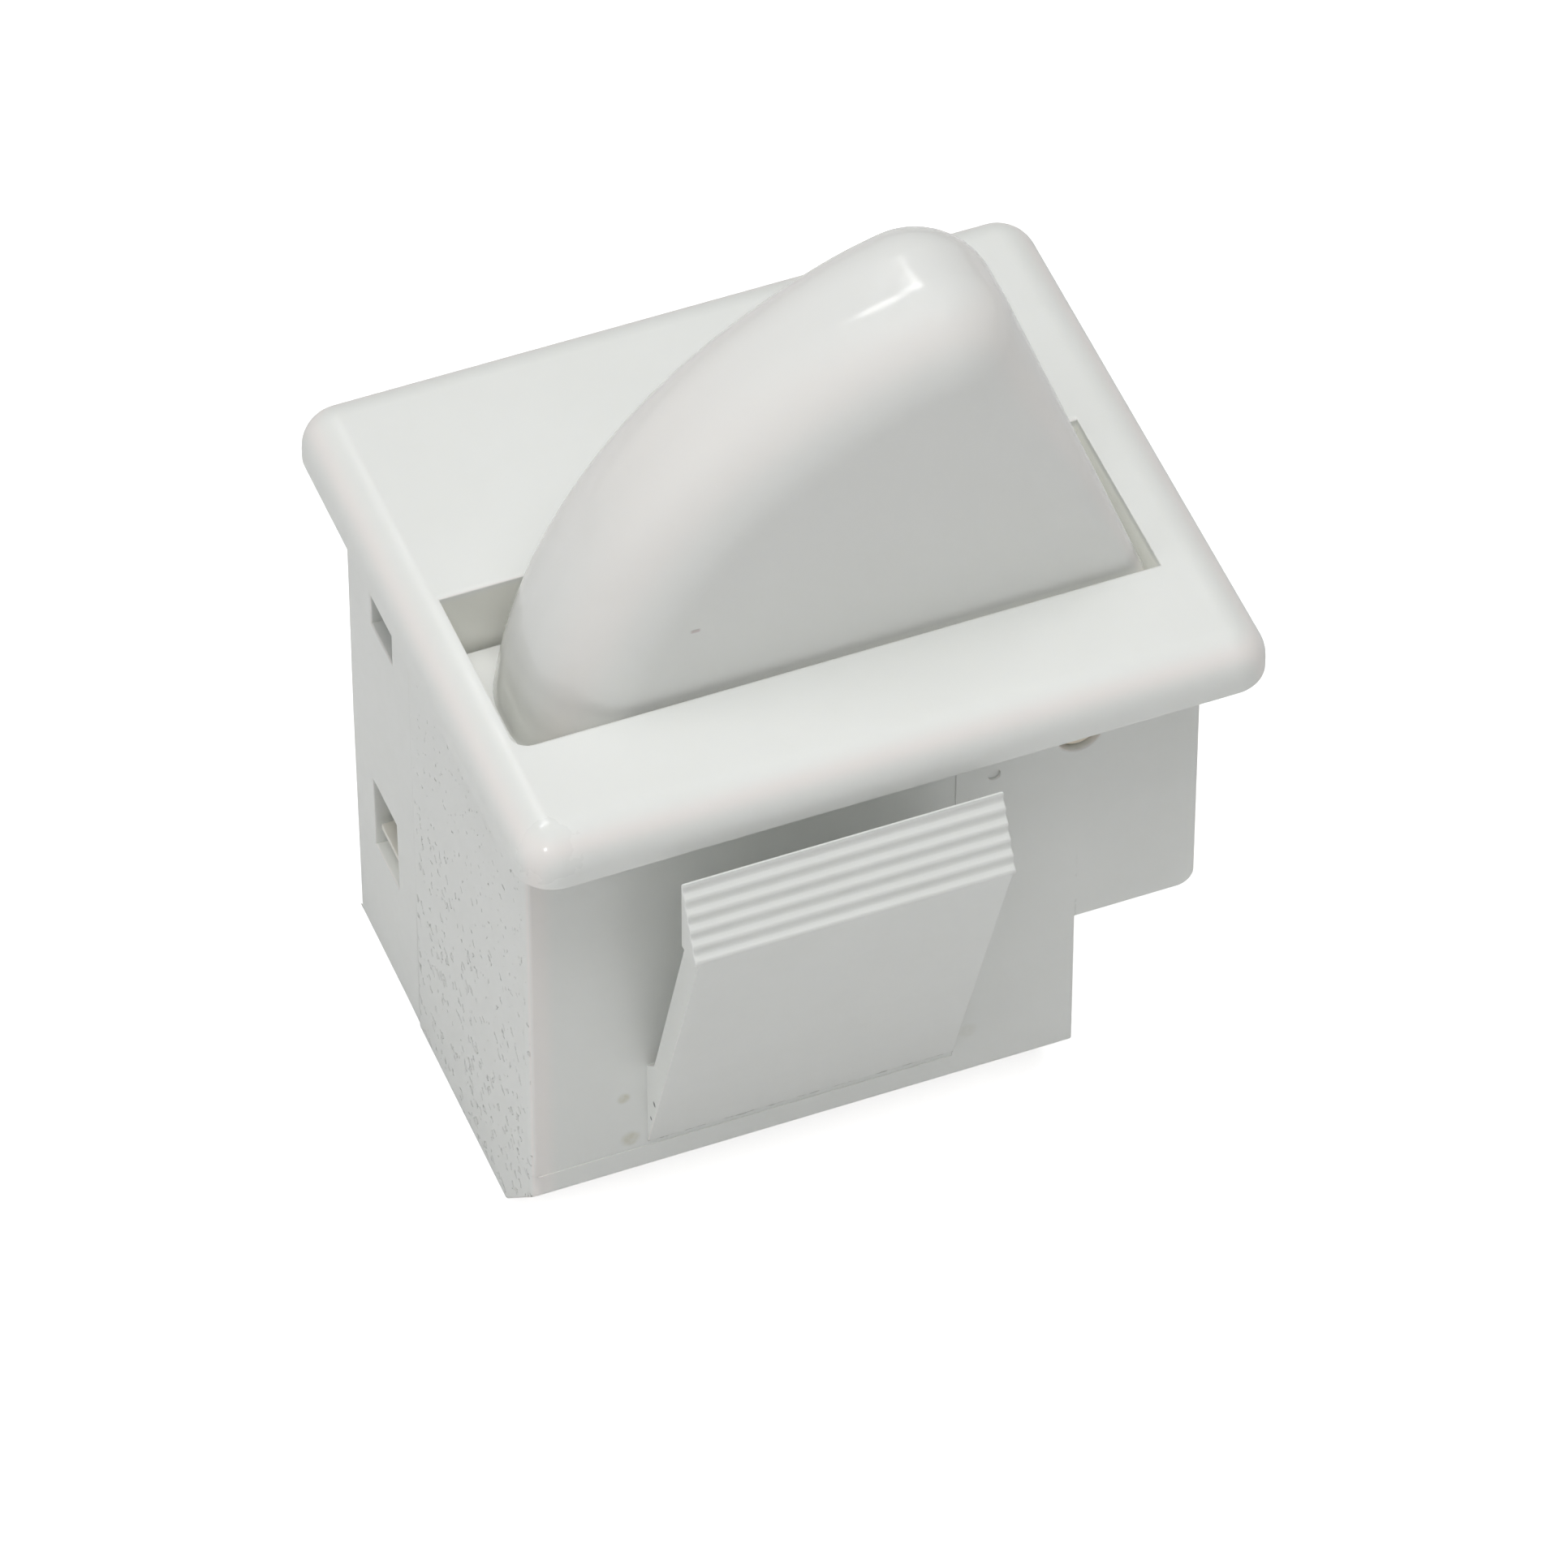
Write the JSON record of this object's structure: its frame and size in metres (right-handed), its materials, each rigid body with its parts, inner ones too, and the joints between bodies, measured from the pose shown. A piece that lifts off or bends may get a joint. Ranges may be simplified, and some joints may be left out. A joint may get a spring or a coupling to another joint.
{
  "type": "rocker arm door switch",
  "caption": "Snap-in panel switch with a sprung quarter-disc rocker arm in a rectangular flange, serrated spring wings and bridging contacts inside.",
  "frame": {"origin": "middle of the flange's front ledge, on its underside: the seat point, in the plane that rests on the panel", "axes": "+Z out of the panel, +X along the flange towards the pivot end, +Y towards the contact chamber's side"},
  "size_m": [0.036, 0.0369, 0.049],
  "materials": {
    "case_plastic": "satin moulded, faint pits on one side",
    "rocker_plastic": "smooth semi-gloss moulded",
    "natural_plastic": "natural moulded",
    "brass": "stamped",
    "tinned_brass": "stamped brass, tin plated",
    "contact_silver": "pressed rivet",
    "steel": "drawn wire"
  },
  "bodies": {
    "case": {"bezel_housing": "case_plastic", "pivot_pin": "natural_plastic", "return_spring": "steel", "contact_base": "natural_plastic", "slider_spring": "steel", "lamp_terminal_a": "tinned_brass", "lamp_terminal_b": "tinned_brass", "fan_terminal_a": "tinned_brass", "fan_terminal_b": "tinned_brass", "lamp_fixed_contact_a": "contact_silver", "lamp_fixed_contact_b": "contact_silver", "fan_fixed_contact_a": "contact_silver", "fan_fixed_contact_b": "contact_silver"},
    "rocker": {"rocker_arm": "rocker_plastic"},
    "slider": {"contact_slider": "natural_plastic", "lamp_bridge": "brass", "fan_bridge": "brass", "lamp_moving_contact_a": "contact_silver", "lamp_moving_contact_b": "contact_silver", "fan_moving_contact_a": "contact_silver", "fan_moving_contact_b": "contact_silver", "lamp_contact_spring": "steel", "fan_contact_spring": "steel"},
    "front_wing": {"front_snap_wing": "case_plastic"},
    "rear_wing": {"rear_snap_wing": "case_plastic"}
  },
  "joints": [
    {"name": "rocker_pivot", "type": "hinge", "parent": "case", "child": "rocker", "pos_m": [0.01, 0.0095, -0.0039], "axis": [0, -1, 0], "range_deg": [0, 62], "stiffness_Nm_per_rad": 0.008, "springref_deg": -28.65, "deforming": ["return_spring"]},
    {"name": "slider_travel", "type": "slide", "parent": "case", "child": "slider", "axis": [0, 0, -1], "range_m": [0, 0.00206], "deforming": ["slider_spring"]},
    {"name": "front_wing_flex", "type": "hinge", "parent": "case", "child": "front_wing", "pos_m": [-0.0035, 0.00063, -0.01682], "axis": [-1, 0, 0], "range_deg": [0, 15], "stiffness_Nm_per_rad": 0.01},
    {"name": "rear_wing_flex", "type": "hinge", "parent": "case", "child": "rear_wing", "pos_m": [-0.0035, 0.02667, -0.01682], "axis": [1, 0, 0], "range_deg": [0, 15], "stiffness_Nm_per_rad": 0.01}
  ],
  "couplings": [
    {"joint": "slider_travel", "follows": "rocker_pivot", "m_per_rad": 0.0019}
  ]
}
